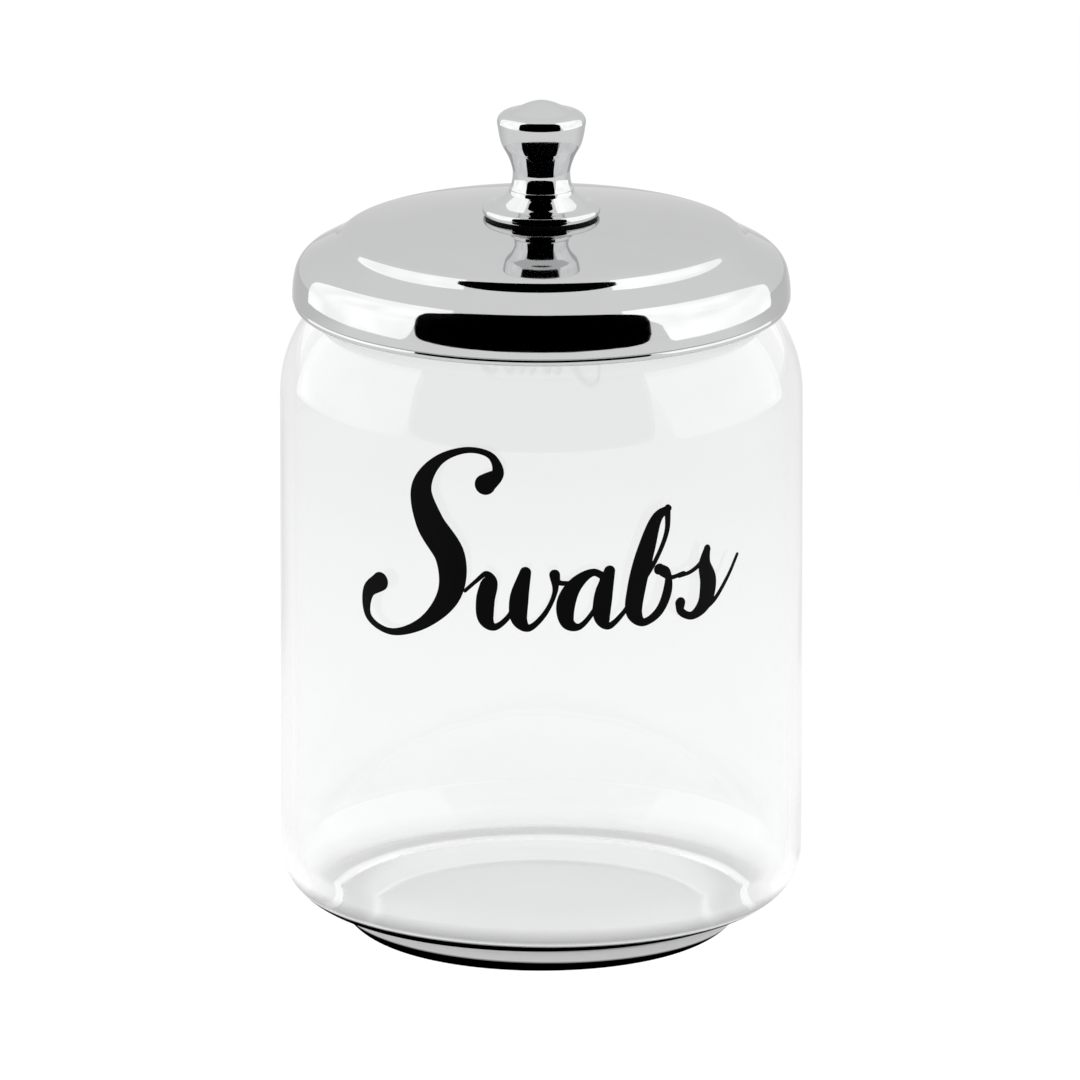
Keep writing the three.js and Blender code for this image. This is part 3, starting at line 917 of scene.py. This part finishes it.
def tabletop_material():
    """Pale acrylic, lit from below, with a painted pool of light under the jar, and painted shade that makes
    it a little darker towards the back when it is seen through the glass."""
    material, nodes, links, shader = new_material(
        "lit_acrylic", Specular_IOR_Level=0.0, Roughness=1.0, Emission_Color=(1, 1, 1, 1)
    )
    material.cycles.emission_sampling = "NONE"
    place = nodes.new("ShaderNodeTexCoord").outputs["Object"]
    away = vector_calculation(nodes, links, "LENGTH", place).outputs["Value"]
    # Painted light: the glow is stronger under the jar, where it fills the jar's shadow.
    links.new(ranged(nodes, links, away, *TABLE_GLOW_AND_PAINTED_POOL, *PAINTED_POOL_FADE), shader.inputs["Emission Strength"])
    # Painted shade: the tabletop gets darker towards the back.
    back = ranged(nodes, links, separated(nodes, links, place)["Y"], 0, 0.95, *PAINTED_TABLE_SHADE)
    depth = calculated(nodes, links, "MULTIPLY_ADD", noise(nodes, links, 30, 3), TABLE_CLOUD, back)
    tone = tinted(nodes, links, depth, (0.87, 0.87, 0.87), (0.7, 0.7, 0.7), 0, 1)
    links.new(tone, shader.inputs["Base Color"])
    white = nodes.new("ShaderNodeEmission")
    white.inputs["Strength"].default_value = TABLE_WHITE
    from_camera = nodes.new("ShaderNodeLightPath").outputs["Is Camera Ray"]
    seen = calculated(nodes, links, "MULTIPLY", from_camera, TABLE_SEEN)
    whole = mixed(nodes, links, seen, shader.outputs["BSDF"], white.outputs["Emission"])
    links.new(whole, nodes["Material Output"].inputs["Surface"])
    return material


def tabletop():
    """A large flat top to stand on."""
    half = TABLE_HALF
    corners = [(-half, -half, 0), (half, -half, 0), (half, half, 0), (-half, half, 0)]
    mesh = bpy.data.meshes.new("tabletop")
    mesh.from_pydata(corners, [], [(0, 1, 2, 3)])
    mesh.materials.append(tabletop_material())
    piece = placed("tabletop", mesh)


def white_room():
    """Even white light from all sides and a large lamp overhead."""
    world = bpy.data.worlds.new("studio")
    bpy.context.scene.world = world
    world.use_nodes = True
    world.node_tree.nodes["Background"].inputs["Color"].default_value = (1, 1, 1, 1)
    world.node_tree.nodes["Background"].inputs["Strength"].default_value = 1.0
    lamp = bpy.data.lights.new("overhead", "AREA")
    lamp.shape = "DISK"
    lamp.size = LAMP_SIZE
    lamp.energy = LAMP_POWER
    top = placed("overhead", lamp)
    top.location = (0, 0, LAMP_HEIGHT)
    top.visible_glossy = False
    top.visible_transmission = False


def studio():
    """The tabletop, the cards that the lid mirrors, and the light."""
    tabletop()
    dark = reflected_only(plain_light("dark_cloth", (0, 0, 0), 0))
    bright = softbox_material()
    card("dark_arch", dark, DARK_DISTANCE, DARK_ARCH)
    card("softbox_left", bright, SOFTBOX_DISTANCE, SOFTBOX_LEFT)
    card("softbox_right", bright, SOFTBOX_DISTANCE, SOFTBOX_RIGHT)
    white_room()


def camera():
    """A long lens that looks slightly down at the front."""
    data = bpy.data.cameras.new("camera")
    data.lens = LENS
    data.sensor_width = 36
    data.clip_end = 50
    eye = placed("camera", data)
    back = Vector((0, -math.cos(ELEVATION), math.sin(ELEVATION)))
    eye.location = AIM + back * DISTANCE
    eye.rotation_euler = (math.pi / 2 - ELEVATION, 0, 0)
    bpy.context.scene.camera = eye


chrome = chrome_material()
steel = steel_material()
silicone = moulded_material("soft_silicone", (0.7, 0.72, 0.72), (0.8, 0.81, 0.81), 0.4, Subsurface_Weight=0.1)
liner_plastic = moulded_material("white_liner", (0.8, 0.8, 0.78), (0.86, 0.86, 0.84), 0.42)
nylon = moulded_material(
    "black_nylon", (0.001, 0.001, 0.001), (0.003, 0.003, 0.003), 0.5, Specular_IOR_Level=0.1
)
glass_jar(glass_material())
lettering(vinyl_material())
seal_ring(silicone)
lid_shell(chrome)
lid_liner(liner_plastic)
knob(chrome)
knob_washer(nylon)
knob_screw(steel)
flat_washer(steel)
lock_washer(steel)
studio()
camera()
scene = bpy.context.scene
scene.view_settings.view_transform = "Standard"
scene.cycles.glossy_bounces = 8
scene.cycles.transmission_bounces = 16
scene.cycles.max_bounces = 20
scene.cycles.transparent_max_bounces = 16
